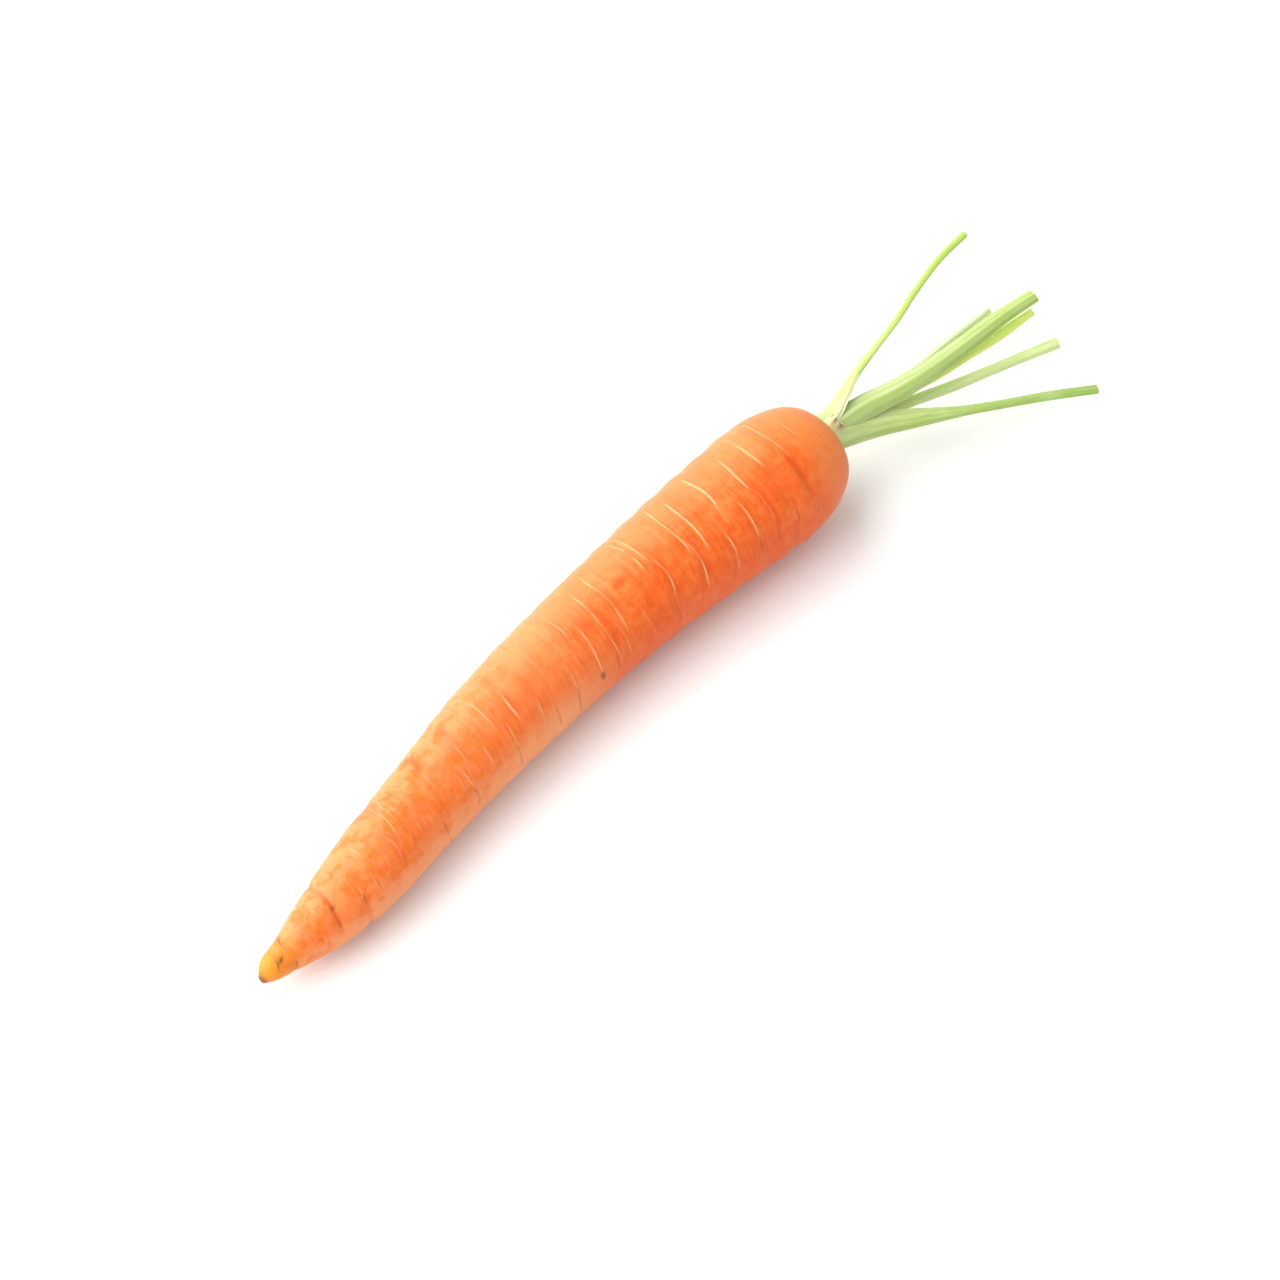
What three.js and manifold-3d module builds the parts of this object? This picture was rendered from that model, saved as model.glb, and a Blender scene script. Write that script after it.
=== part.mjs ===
// A fresh carrot as picked, lying on a table, its leaves cut back to short stalks.
//
// Millimetres, +Z up. The root lies along X, its tip towards -X and its crown towards +X, and rests
// on the plane Z = 0. The origin is under the middle of the whole carrot.
//
// The taproot is one solid: round in section, tapering to the tip, bent a little to one side, with a
// rounded shoulder. The crown is the short stem that sits in a shallow seat in the shoulder. Six leaf
// stalks and one old leaf base clasp the crown, each with a flat sheathing foot. A foot is trimmed
// clear of the root, of the crown and of the feet outside it.

import * as THREE from 'three';
import { mergeVertices } from 'three/addons/utils/BufferGeometryUtils.js';
import Module from 'manifold-3d';

// ---- Driving dimensions -------------------------------------------------------------------------

const ROOT_LENGTH = 198; // from the tip to the seat of the crown
const ROOT_DIAMETER = 33.3; // at the widest place, where the shoulder begins
const TIP_DIAMETER = 1.6; // where the thin end of the root broke off
const SHOULDER_LENGTH = 21; // from the widest place to the seat
const SIDE_BEND = 6.6; // how far the middle of the root bends to the side
const TIP_LIFT = 7; // how far the tip is held off the table by the body behind it
const TIP_LENGTH = 42; // the end of the root that lifts off the table
const UNDERSIDE_FLAT = 0.35; // depth of the flat that the root lies on
const CROWN_DIAMETER = 8.6; // of the short stem, at the seat
const CROWN_HEIGHT = 6; // how far the short stem stands out of the shoulder
const SEAT_DEPTH = 1; // how far the short stem is sunk into the shoulder
const STALK_REACH = 65; // from the seat to the end of the longest stalk
const SHEATH_WIDTH = 8.6; // across the widest sheathing foot
const STALK_THICKNESS = 2.3; // from the inner to the outer side of a stalk
const CLEARANCE = 0.3; // between neighbouring pieces

// ---- Shapes, as shares of those dimensions ------------------------------------------------------

// How far a foot's margins turn in, as a share of what it is wider than thick.
const CURL = 0.45;

// How far from the crown's axis the middle of a foot stands, as a share of the crown's radius.
const FOOT_SPREAD = 0.96;

// How round the shoulder is: 1 is an ellipse, and less is fuller at the corner.
const SHOULDER_ROUNDNESS = 0.68;

// The root's radius: [share of the way from the tip to the widest place, share of the largest radius].
const ROOT_TAPER = [
  [0, TIP_DIAMETER / ROOT_DIAMETER],
  [0.012, 0.16],
  [0.04, 0.24],
  [0.12, 0.455],
  [0.21, 0.59],
  [0.33, 0.635],
  [0.47, 0.73],
  [0.66, 0.8],
  [0.85, 0.908],
  [1, 1],
];

// The root's bend: [share of the way from the tip to the seat, share of the side bend].
const ROOT_BEND = [
  [0, 0],
  [0.1, 0.02],
  [0.2, 0.27],
  [0.3, 0.61],
  [0.4, 0.86],
  [0.54, 1],
  [0.66, 0.92],
  [0.8, 0.62],
  [0.9, 0.33],
  [1, 0.26],
];

// The leaf stalks, the outermost first. turn is where the foot stands around the crown, in degrees
// from straight up, towards +Y. sheath is the foot's width as a share of the widest foot. Each step
// of the route is [along, sideways, up] from the middle of the seat, as shares of the reach, and
// then the stalk's width there in millimetres.
const STALKS = [
  {
    name: 'leaf_stalk_long',
    turn: -70,
    sheath: 1,
    colour: 0xa9c65c,
    route: [
      [0.2, -0.114, -0.019, 7],
      [0.355, -0.203, -0.035, 4.8],
      [0.505, -0.29, -0.055, 2.7],
      [0.648, -0.374, -0.077, 2.2],
      [0.835, -0.48, -0.107, 2.3],
      [1, -0.588, -0.13, 2.3],
    ],
  },
  {
    name: 'leaf_stalk_thin',
    turn: 55,
    sheath: 0.8,
    colour: 0xcadf7d,
    route: [
      [0.105, 0.038, 0.047, 7.4],
      [0.175, 0.039, 0.083, 5.8],
      [0.27, 0.043, 0.124, 3],
      [0.382, 0.042, 0.178, 2],
      [0.501, 0.045, 0.224, 2],
      [0.623, 0.062, 0.262, 2],
      [0.789, 0.078, 0.301, 2],
      [0.943, 0.075, 0.324, 2.2],
    ],
  },
  {
    name: 'leaf_stalk_broad',
    turn: -15,
    sheath: 0.8,
    colour: 0xb9d273,
    route: [
      [0.212, -0.052, 0.062, 6.4],
      [0.345, -0.101, 0.078, 5.6],
      [0.48, -0.138, 0.093, 4.9],
      [0.655, -0.171, 0.116, 4.5],
      [0.835, -0.201, 0.139, 3.9],
      [1, -0.241, 0.162, 3.4],
    ],
  },
  {
    name: 'leaf_stalk_middle',
    turn: -140,
    sheath: 0.45,
    colour: 0xbcd878,
    route: [
      [0.2, -0.056, -0.045, 3.3],
      [0.388, -0.109, -0.048, 3.2],
      [0.56, -0.188, -0.04, 3.1],
      [0.762, -0.277, -0.024, 2.8],
      [0.995, -0.383, -0.002, 3.2],
    ],
  },
  {
    name: 'leaf_stalk_rear',
    turn: 115,
    sheath: 0.35,
    colour: 0xaac387,
    route: [
      [0.2, -0.005, 0.003, 2.6],
      [0.478, -0.061, 0.014, 2.5],
      [0.682, -0.084, 0.037, 2.5],
      [0.9, -0.11, 0.06, 2.2],
    ],
  },
  {
    name: 'leaf_stalk_inner',
    turn: 180,
    sheath: 0.4,
    colour: 0xc9df72,
    route: [
      [0.185, -0.036, -0.025, 3],
      [0.372, -0.083, 0.001, 3],
      [0.52, -0.138, 0.024, 3],
      [0.68, -0.181, 0.047, 3],
      [0.822, -0.217, 0.062, 2.8],
      [0.988, -0.252, 0.085, 2],
    ],
  },
];

// The foot left by an older leaf that broke off, in the same terms.
const OLD_LEAF_BASE = {
  name: 'old_leaf_base',
  turn: -14,
  sheath: 0.65,
  colour: 0xc9c795,
  route: [[0.055, -0.034, 0.1, 4.2]],
};

// ---- Sections and routes ------------------------------------------------------------------------

// A smooth curve through [position, value] pairs.
function smooth(pairs) {
  const curve = new THREE.CubicInterpolant(
    pairs.map((pair) => pair[0]),
    pairs.map((pair) => pair[1]),
    1,
  );
  return (position) => curve.evaluate(position)[0];
}

const WIDEST = ROOT_LENGTH - SHOULDER_LENGTH;
const rootTaper = smooth(ROOT_TAPER);
const rootBend = smooth(ROOT_BEND);

// The root's radius at a distance from the tip, up to the widest place.
function rootRadius(distance) {
  return (ROOT_DIAMETER / 2) * rootTaper(Math.min(distance, WIDEST) / WIDEST);
}

// The middle of the root at a distance from the tip. The root lies on its underside, and its thin
// end carries on in line with the body, clear of the table.
function rootMiddle(distance) {
  const share = THREE.MathUtils.clamp(distance / ROOT_LENGTH, 0, 1);
  const lift = TIP_LIFT * Math.max(0, 1 - distance / TIP_LENGTH) ** 2;
  const height = rootRadius(distance) - UNDERSIDE_FLAT + lift;
  return new THREE.Vector3(distance, SIDE_BEND * rootBend(share), height);
}

const SEAT = rootMiddle(ROOT_LENGTH);

// ---- Solids -------------------------------------------------------------------------------------

const wasm = await Module();
wasm.setup();

// A closed geometry as a solid that can be cut and joined.
function toSolid(geometry) {
  const bare = geometry.clone().deleteAttribute('normal').deleteAttribute('uv');
  const merged = mergeVertices(bare, 1e-4);
  return new wasm.Manifold(
    new wasm.Mesh({
      numProp: 3,
      vertProperties: merged.attributes.position.array,
      triVerts: new Uint32Array(merged.index.array),
    }),
  );
}

// A solid's surface as a geometry.
function toGeometry(solid) {
  const mesh = solid.getMesh();
  const geometry = new THREE.BufferGeometry();
  geometry.setAttribute('position', new THREE.BufferAttribute(new Float32Array(mesh.vertProperties), 3));
  geometry.setIndex(new THREE.BufferAttribute(new Uint32Array(mesh.triVerts), 1));
  geometry.computeVertexNormals();
  return geometry;
}

// Moves every point of a geometry by a function of the point.
function moved(geometry, move) {
  const positions = geometry.attributes.position;
  const point = new THREE.Vector3();
  for (let index = 0; index < positions.count; index += 1) {
    point.fromBufferAttribute(positions, index);
    move(point);
    positions.setXYZ(index, point.x, point.y, point.z);
  }
  return geometry;
}

// The root's outline from the tip to the shoulder's rim: x is the radius, and y is the distance from
// the tip. Here and below, grow makes a piece that much bigger all round, to trim its neighbours with.
function rootOutline(grow) {
  const bodyRings = 44;
  const shoulderRings = 10;
  const crowding = 1.25; // puts more rings near the tip
  const outline = [];
  for (let ring = 0; ring <= bodyRings; ring += 1) {
    const distance = WIDEST * (ring / bodyRings) ** crowding;
    outline.push(new THREE.Vector2(rootRadius(distance) + grow, distance));
  }
  const rim = CROWN_DIAMETER / 2 + CLEARANCE;
  for (let ring = 1; ring <= shoulderRings; ring += 1) {
    const angle = ((Math.PI / 2) * ring) / shoulderRings;
    const fullness = Math.max(0, Math.cos(angle)) ** SHOULDER_ROUNDNESS;
    const radius = rim + (ROOT_DIAMETER / 2 - rim) * fullness + grow;
    outline.push(new THREE.Vector2(radius, WIDEST + (SHOULDER_LENGTH + grow) * Math.sin(angle)));
  }
  return outline;
}

// The taproot, lying on its underside, with the seat for the crown.
function makeTaproot(grow = 0) {
  const sides = 40;
  const outline = [new THREE.Vector2(0, 0), ...rootOutline(grow)];
  if (grow === 0) {
    const floor = ROOT_LENGTH - SEAT_DEPTH;
    outline.push(new THREE.Vector2(CROWN_DIAMETER / 2 + CLEARANCE, floor));
    outline.push(new THREE.Vector2(0, floor));
  } else {
    outline.push(new THREE.Vector2(0, ROOT_LENGTH + grow));
  }
  const geometry = new THREE.LatheGeometry(outline, sides);
  geometry.rotateZ(-Math.PI / 2);
  moved(geometry, (point) => {
    const middle = rootMiddle(point.x);
    point.y += middle.y;
    point.z += middle.z;
  });
  const table = new THREE.BoxGeometry(2 * ROOT_LENGTH, ROOT_LENGTH, ROOT_DIAMETER);
  table.translate(ROOT_LENGTH / 2, 0, -ROOT_DIAMETER / 2);
  return toSolid(geometry).subtract(toSolid(table));
}

// The crown: a short stem that stands in the seat and narrows to a blunt top.
function makeCrown(grow = 0) {
  const sides = 24;
  const radius = CROWN_DIAMETER / 2 + grow;
  const top = CROWN_HEIGHT + grow;
  const foot = CLEARANCE - SEAT_DEPTH - grow;
  const edge = 0.5; // height of the narrower edge around the foot
  const outline = [
    new THREE.Vector2(0, foot),
    new THREE.Vector2(0.94 * radius, foot),
    new THREE.Vector2(radius, foot + edge),
    new THREE.Vector2(0.97 * radius, 0.15 * top),
    new THREE.Vector2(0.8 * radius, 0.45 * top),
    new THREE.Vector2(0.56 * radius, 0.75 * top),
    new THREE.Vector2(0.3 * radius, 0.95 * top),
    new THREE.Vector2(0, top),
  ];
  const geometry = new THREE.LatheGeometry(outline, sides);
  geometry.rotateZ(-Math.PI / 2);
  geometry.translate(SEAT.x, SEAT.y, SEAT.z);
  return toSolid(geometry);
}

// A stalk with its sheathing foot. Its section is a flat oval whose wide margins curl inwards to
// clasp the crown, and which closes to a plain rounded stalk where it is no wider than it is thick.
function makeStalk(stalk, grow = 0) {
  const sides = 14;
  const rings = 4 * stalk.route.length;
  const angle = THREE.MathUtils.degToRad(stalk.turn);
  const outward = new THREE.Vector3(0, Math.sin(angle), Math.cos(angle));
  const foot = stalk.sheath * SHEATH_WIDTH;
  const start = SEAT.clone().addScaledVector(outward, (FOOT_SPREAD * CROWN_DIAMETER) / 2);
  const steps = [
    [start.clone().setX(SEAT.x - SEAT_DEPTH), foot],
    [start.clone().setX(SEAT.x + SEAT_DEPTH), foot],
  ];
  for (const [along, sideways, up, width] of stalk.route) {
    const step = new THREE.Vector3(along, sideways, up).multiplyScalar(STALK_REACH).add(SEAT);
    steps.push([step, width]);
  }
  const route = new THREE.CatmullRomCurve3(
    steps.map((step) => step[0]),
    false,
    'centripetal',
  );
  const widths = smooth(steps.map((step, index) => [index / (steps.length - 1), step[1]]));

  const geometry = new THREE.CylinderGeometry(1, 1, 1, sides, rings);
  moved(geometry, (point) => {
    const share = point.y + 0.5;
    const tangent = route.getTangent(share);
    const outer = outward.clone().addScaledVector(tangent, -outward.dot(tangent)).normalize();
    const side = new THREE.Vector3().crossVectors(tangent, outer);
    const width = widths(share);
    const thickness = Math.min(STALK_THICKNESS, width);
    const curl = CURL * (width - thickness);
    const across = point.x * (width / 2 + grow);
    const tilt = (2 * curl * across) / (width / 2) ** 2;
    const through = (point.z * (thickness / 2 + grow)) / Math.hypot(1, tilt);
    const middle = route.getPoint(share).addScaledVector(tangent, grow * Math.sign(share - 0.5));
    middle.addScaledVector(outer, through - curl * (across / (width / 2)) ** 2);
    point.copy(middle.addScaledVector(side, across + through * tilt));
  });
  return toSolid(geometry);
}

// ---- Assembly -----------------------------------------------------------------------------------

const carrot = new THREE.Group();

// Adds a piece to the carrot as a named mesh with its own material.
function add(name, solid, colour, roughness) {
  const material = new THREE.MeshStandardMaterial({ color: colour, roughness, metalness: 0 });
  const mesh = new THREE.Mesh(toGeometry(solid), material);
  mesh.name = name;
  carrot.add(mesh);
}

add('taproot', makeTaproot(), 0xf07a2c, 0.5);
add('crown', makeCrown(), 0xc5d38e, 0.6);

let taken = makeTaproot(CLEARANCE).add(makeCrown(CLEARANCE));
for (const stalk of [...STALKS, OLD_LEAF_BASE]) {
  add(stalk.name, makeStalk(stalk).subtract(taken), stalk.colour, 0.45);
  taken = taken.add(makeStalk(stalk, CLEARANCE));
}

// The origin goes under the middle of the whole carrot.
const bounds = new THREE.Box3().setFromObject(carrot);
const middle = bounds.getCenter(new THREE.Vector3());
carrot.position.set(-middle.x, -middle.y, -bounds.min.z);

export default carrot;
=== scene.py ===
"""The looks of a fresh carrot that lies on a table, its leaves cut back to short stalks.

Metres, +Z up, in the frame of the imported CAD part. The root lies along X with its crown towards +X.
The taproot is raised ring by ring over the CAD root and wrinkled. Every leaf stalk is a ribbed tube
that follows its CAD route from the crown.
"""

import logging
import math
import random
from dataclasses import dataclass, field
from enum import Enum

import bpy
import numpy as np
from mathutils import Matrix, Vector


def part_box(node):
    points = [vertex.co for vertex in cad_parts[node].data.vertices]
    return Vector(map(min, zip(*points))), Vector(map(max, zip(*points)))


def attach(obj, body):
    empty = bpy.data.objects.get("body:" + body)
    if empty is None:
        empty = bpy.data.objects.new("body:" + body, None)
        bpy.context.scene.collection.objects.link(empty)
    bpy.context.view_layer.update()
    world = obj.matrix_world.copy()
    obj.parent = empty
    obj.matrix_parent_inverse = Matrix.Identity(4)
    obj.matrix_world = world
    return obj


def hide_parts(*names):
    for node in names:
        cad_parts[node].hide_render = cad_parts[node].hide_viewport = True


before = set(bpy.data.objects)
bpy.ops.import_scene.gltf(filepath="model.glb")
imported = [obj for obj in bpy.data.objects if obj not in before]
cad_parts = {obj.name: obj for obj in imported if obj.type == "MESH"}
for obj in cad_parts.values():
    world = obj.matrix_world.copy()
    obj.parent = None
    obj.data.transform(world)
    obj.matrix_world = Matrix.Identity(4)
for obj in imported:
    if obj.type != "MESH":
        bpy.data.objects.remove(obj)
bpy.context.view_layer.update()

MM = 0.001
LOG = logging.getLogger("carrot")
WOBBLE_WAVES = 5  # how many waves make up a random line
FAINTEST_RELIEF = 0.002  # share of the greatest height under which a vertex is left where it is
FAINTEST_LINE = 0.02  # strength under which a thin line has ended

Socket = bpy.types.NodeSocket
Colour = tuple[float, float, float, float]


# ---- Small tools of the bench -------------------------------------------------------------------


def paint(code: str) -> Colour:
    """Turns a colour code into the linear colour that a shader takes.

    Args:
        code: six hexadecimal digits, two each for red, green and blue.

    Returns:
        The colour as red, green, blue and an alpha of 1.
    """
    levels = [int(code[start : start + 2], 16) / 255 for start in (0, 2, 4)]
    linear = [
        level / 12.92 if level <= 0.04045 else ((level + 0.055) / 1.055) ** 2.4 for level in levels
    ]
    return linear[0], linear[1], linear[2], 1.0


def deselect_everything() -> None:
    """Goes to object mode and leaves nothing selected."""
    if bpy.context.object and bpy.context.object.mode != "OBJECT":
        bpy.ops.object.mode_set(mode="OBJECT")
    bpy.ops.object.select_all(action="DESELECT")


def pick(piece: bpy.types.Object) -> None:
    """Makes a piece the only selected and active one."""
    deselect_everything()
    piece.select_set(True)
    bpy.context.view_layer.objects.active = piece


def turn_faces_out(piece: bpy.types.Object) -> None:
    """Points all faces of a closed piece outwards."""
    pick(piece)
    bpy.ops.object.mode_set(mode="EDIT")
    bpy.ops.mesh.select_all(action="SELECT")
    bpy.ops.mesh.normals_make_consistent(inside=False)
    deselect_everything()


def points_of(piece: bpy.types.Object) -> np.ndarray:
    """Reads where a piece's vertices are, one row each."""
    flat = np.empty(len(piece.data.vertices) * 3)
    piece.data.vertices.foreach_get("co", flat)
    return flat.reshape(-1, 3)


def move_points(piece: bpy.types.Object, points: np.ndarray) -> None:
    """Puts a piece's vertices at new places, one row each."""
    piece.data.vertices.foreach_set("co", points.astype(np.float32).ravel())
    piece.data.update()


def store(piece: bpy.types.Object, name: str, values: np.ndarray) -> None:
    """Keeps a number or a direction for each vertex, for the piece's material to read.

    Args:
        piece: the piece that takes the attribute.
        name: what the material calls it.
        values: one number or one row of three for each vertex.
    """
    vector = values.ndim == 2
    kind = "FLOAT_VECTOR" if vector else "FLOAT"
    attribute = piece.data.attributes.new(name, kind, "POINT")
    attribute.data.foreach_set("vector" if vector else "value", values.astype(np.float32).ravel())


def apply_subdivision(piece: bpy.types.Object, levels: int) -> None:
    """Adds a Subdivision Surface modifier to a piece and applies it."""
    pick(piece)
    modifier = piece.modifiers.new("subdivision", "SUBSURF")
    modifier.levels = levels
    modifier.render_levels = levels
    bpy.ops.object.modifier_apply(modifier=modifier.name)


def raise_by_rings(name: str, sides: int, rows: np.ndarray) -> bpy.types.Object:
    """Extrudes a closed body ring by ring along X from a filled circle.

    Args:
        name: the piece's name.
        sides: how many sides a ring has.
        rows: for each ring its place along X, its radius, and its middle sideways and up.

    Returns:
        The body, with its faces outwards.
    """
    along, radius, sideways, up = rows[0]
    deselect_everything()
    bpy.ops.mesh.primitive_circle_add(
        vertices=sides,
        radius=radius,
        fill_type="TRIFAN",
        location=(along, sideways, up),
        rotation=(0, math.pi / 2, 0),
    )
    piece = bpy.context.object
    piece.name = piece.data.name = name
    bpy.ops.object.transform_apply(location=True, rotation=True, scale=True)
    bpy.ops.object.mode_set(mode="EDIT")
    bpy.ops.mesh.select_all(action="SELECT")
    for before, after in zip(rows, rows[1:]):
        step = (after[0] - before[0], after[2] - before[2], after[3] - before[3])
        growth = after[1] / before[1]
        bpy.ops.mesh.extrude_region_move(TRANSFORM_OT_translate={"value": step})
        bpy.ops.transform.resize(
            value=(1, growth, growth), center_override=(after[0], after[2], after[3])
        )
    turn_faces_out(piece)
    return piece


def apply_relief(piece: bpy.types.Object, name: str, heights: np.ndarray) -> None:
    """Raises or sinks a piece's surface by an applied Displace modifier with painted weights.

    Args:
        piece: the piece that is shaped.
        name: name of the vertex group that is painted.
        heights: how far each vertex goes outwards, in metres, negative for inwards.
    """
    for side, sign in (("raised", 1.0), ("sunk", -1.0)):
        amounts = np.clip(sign * heights, 0.0, None)
        most = float(amounts.max())
        if most <= 0:
            continue
        group = piece.vertex_groups.new(name=f"{name}_{side}")
        for index in np.flatnonzero(amounts > FAINTEST_RELIEF * most):
            group.add((int(index),), float(amounts[index] / most), "REPLACE")
        pick(piece)
        modifier = piece.modifiers.new(f"{name}_{side}", "DISPLACE")
        modifier.vertex_group = group.name
        modifier.mid_level = 0.0
        modifier.strength = sign * most
        bpy.ops.object.modifier_apply(modifier=modifier.name)
    piece.vertex_groups.clear()


def wobble(positions: np.ndarray, waves: int, seed: int) -> np.ndarray:
    """A smooth random line that repeats after a full turn.

    Args:
        positions: where along the line, in radians.
        waves: the most waves in a full turn.
        seed: which line of many.

    Returns:
        The line's height at each position, mostly between -1 and 1.
    """
    draw = random.Random(seed)
    height = np.zeros_like(positions)
    for _ in range(WOBBLE_WAVES):
        turns = draw.randint(1, waves)
        height += math.sqrt(2 / WOBBLE_WAVES) * np.sin(turns * positions + draw.uniform(0, math.tau))
    return height


def bell(offset: np.ndarray, width: float) -> np.ndarray:
    """A bell curve of height 1 at offset 0."""
    return np.exp(-0.5 * (offset / width) ** 2)


def between(value: np.ndarray, low: float, high: float, fade: float) -> np.ndarray:
    """1 from low to high, fading smoothly to 0 over a distance outside them."""
    rise = np.clip((value - low) / fade + 1, 0, 1)
    fall = np.clip((high - value) / fade + 1, 0, 1)
    share = rise * fall
    return share * share * (3 - 2 * share)


def through_points(controls: np.ndarray, shares: np.ndarray) -> np.ndarray:
    """A smooth line through control points, as centripetal Catmull-Rom segments.

    Args:
        controls: the points, one row each: a place, and any value that goes with it.
        shares: places along the line, from 0 at the first point to 1 at the last.

    Returns:
        A row for each share.
    """
    first = 2 * controls[0] - controls[1]
    last = 2 * controls[-1] - controls[-2]
    padded = np.vstack([first, controls, last])
    spans = len(controls) - 1
    scaled = np.clip(shares, 0, 1) * spans
    segment = np.minimum(scaled.astype(int), spans - 1)
    part = (scaled - segment)[:, None]
    before, start, end, after = (padded[segment + step] for step in range(4))

    def reach(one: np.ndarray, other: np.ndarray) -> np.ndarray:
        """Square root of the distance between the places of two rows."""
        return np.maximum(np.linalg.norm((other - one)[:, :3], axis=1), 1e-9)[:, None] ** 0.5

    span0, span1, span2 = reach(before, start), reach(start, end), reach(end, after)
    leave = (start - before) / span0 - (end - before) / (span0 + span1) + (end - start) / span1
    arrive = (end - start) / span1 - (after - start) / (span1 + span2) + (after - end) / span2
    leave, arrive = leave * span1, arrive * span1
    square, cube = part**2, part**3
    return (
        (2 * cube - 3 * square + 1) * start
        + (cube - 2 * square + part) * leave
        + (3 * square - 2 * cube) * end
        + (cube - square) * arrive
    )


# ---- Finishes -----------------------------------------------------------------------------------


class Paintbox:
    """Lays out the nodes of one material around a Principled shader."""

    def __init__(self, name: str) -> None:
        """Starts a material with a shader and its output.

        Args:
            name: the material's name.
        """
        self.material = bpy.data.materials.new(name)
        self.material.use_nodes = True
        self.tree = self.material.node_tree
        self.tree.nodes.clear()
        output = self.tree.nodes.new("ShaderNodeOutputMaterial")
        self.shader = self.tree.nodes.new("ShaderNodeBsdfPrincipled")
        self.tree.links.new(self.shader.outputs["BSDF"], output.inputs["Surface"])

    def _feed(self, socket: Socket, value: object) -> None:
        """Links a socket to another one, or sets it to a plain value."""
        if isinstance(value, bpy.types.NodeSocket):
            self.tree.links.new(value, socket)
        else:
            socket.default_value = value

    def settle(self, **levels: object) -> None:
        """Sets sockets of the shader, named in lower case with _ for a space."""
        names = {socket.name.lower().replace(" ", "_"): socket for socket in self.shader.inputs}
        for name, value in levels.items():
            self._feed(names[name], value)

    def place(self) -> Socket:
        """Where a point is, in the object's own coordinates."""
        return self.tree.nodes.new("ShaderNodeTexCoord").outputs["Object"]

    def kept(self, name: str, vector: bool = False) -> Socket:
        """Reads what store() kept for each vertex."""
        node = self.tree.nodes.new("ShaderNodeAttribute")
        node.attribute_name = name
        return node.outputs["Vector" if vector else "Fac"]

    def stretched(self, vector: Socket, scale: tuple[float, float, float]) -> Socket:
        """Coordinates scaled along each axis."""
        node = self.tree.nodes.new("ShaderNodeMapping")
        self._feed(node.inputs["Vector"], vector)
        node.inputs["Scale"].default_value = scale
        return node.outputs["Vector"]

    def clouds(self, vector: Socket, scale: float, detail: float, rough: float) -> Socket:
        """Soft noise between 0 and 1, most of it near 0.5."""
        node = self.tree.nodes.new("ShaderNodeTexNoise")
        self._feed(node.inputs["Vector"], vector)
        node.inputs["Scale"].default_value = scale
        node.inputs["Detail"].default_value = detail
        node.inputs["Roughness"].default_value = rough
        return node.outputs["Fac"]

    def spots(self, vector: Socket, scale: float) -> Socket:
        """Distance to the nearest of many scattered points, in cells."""
        node = self.tree.nodes.new("ShaderNodeTexVoronoi")
        self._feed(node.inputs["Vector"], vector)
        node.inputs["Scale"].default_value = scale
        return node.outputs["Distance"]

    def fitted(
        self, value: Socket, low: float, high: float, first: float = 0.0, last: float = 1.0
    ) -> Socket:
        """A value moved from the range low to high to the range first to last, and kept within it."""
        node = self.tree.nodes.new("ShaderNodeMapRange")
        for name, number in (("From Min", low), ("From Max", high), ("To Min", first), ("To Max", last)):
            node.inputs[name].default_value = number
        self._feed(node.inputs["Value"], value)
        return node.outputs["Result"]

    def sum(self, operation: str, one: Socket | float, other: Socket | float) -> Socket:
        """A sum on two numbers, kept between 0 and 1."""
        node = self.tree.nodes.new("ShaderNodeMath")
        node.operation = operation
        node.use_clamp = True
        self._feed(node.inputs[0], one)
        self._feed(node.inputs[1], other)
        return node.outputs["Value"]

    def blend(self, share: Socket | float, one: object, other: object) -> Socket:
        """The other colour over the one, by a share."""
        node = self.tree.nodes.new("ShaderNodeMix")
        node.data_type = "RGBA"
        node.clamp_factor = True
        self._feed(node.inputs["Factor"], share)
        self._feed(node.inputs[6], one)
        self._feed(node.inputs[7], other)
        return node.outputs[2]

    def tint(self, colour: Socket, share: Socket, code: str, most: float = 1.0) -> Socket:
        """Lays one more colour over a surface.

        Args:
            colour: the surface's colour so far.
            share: how much of it is covered, from 0 to 1.
            code: the colour that covers it.
            most: what the share is multiplied by.

        Returns:
            The surface's colour with the tint over it.
        """
        if most != 1.0:
            share = self.sum("MULTIPLY", share, most)
        return self.blend(share, colour, paint(code))

    def thin_line(self, name: str, width: float) -> Socket:
        """A thin line from its kept strength and offset.

        Args:
            name: what store() kept the strength under; the offset's name ends in _offset.
            width: half the line's width in millimetres.

        Returns:
            How much of the line covers a point, from 0 to 1.
        """
        away = self.sum("ABSOLUTE", self.kept(f"{name}_offset"), 0.0)
        return self.sum("MULTIPLY", self.fitted(away, 0.15 * width, width, 1, 0), self.kept(name))

    def ramp(self, share: Socket, stops: list[tuple[float, str]]) -> Socket:
        """A run of colours.

        Args:
            share: how far along the run, from 0 to 1.
            stops: the colours' places and codes, in order.

        Returns:
            The colour at that share.
        """
        node = self.tree.nodes.new("ShaderNodeValToRGB")
        elements = node.color_ramp.elements
        while len(elements) < len(stops):
            elements.new(0.5)
        for element, (position, code) in zip(elements, stops):
            element.position = position
            element.color = paint(code)
        self._feed(node.inputs["Fac"], share)
        return node.outputs["Color"]

    def emboss(self, layers: list[tuple[Socket, float, float]]) -> None:
        """Gives the shader fine relief from several heights.

        Args:
            layers: for each one its height from 0 to 1, its strength and its depth in metres.
        """
        normal: Socket | None = None
        for height, strength, depth in layers:
            node = self.tree.nodes.new("ShaderNodeBump")
            node.inputs["Strength"].default_value = strength
            node.inputs["Distance"].default_value = depth
            self._feed(node.inputs["Height"], height)
            if normal is not None:
                self._feed(node.inputs["Normal"], normal)
            normal = node.outputs["Normal"]
        self._feed(self.shader.inputs["Normal"], normal)


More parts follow.
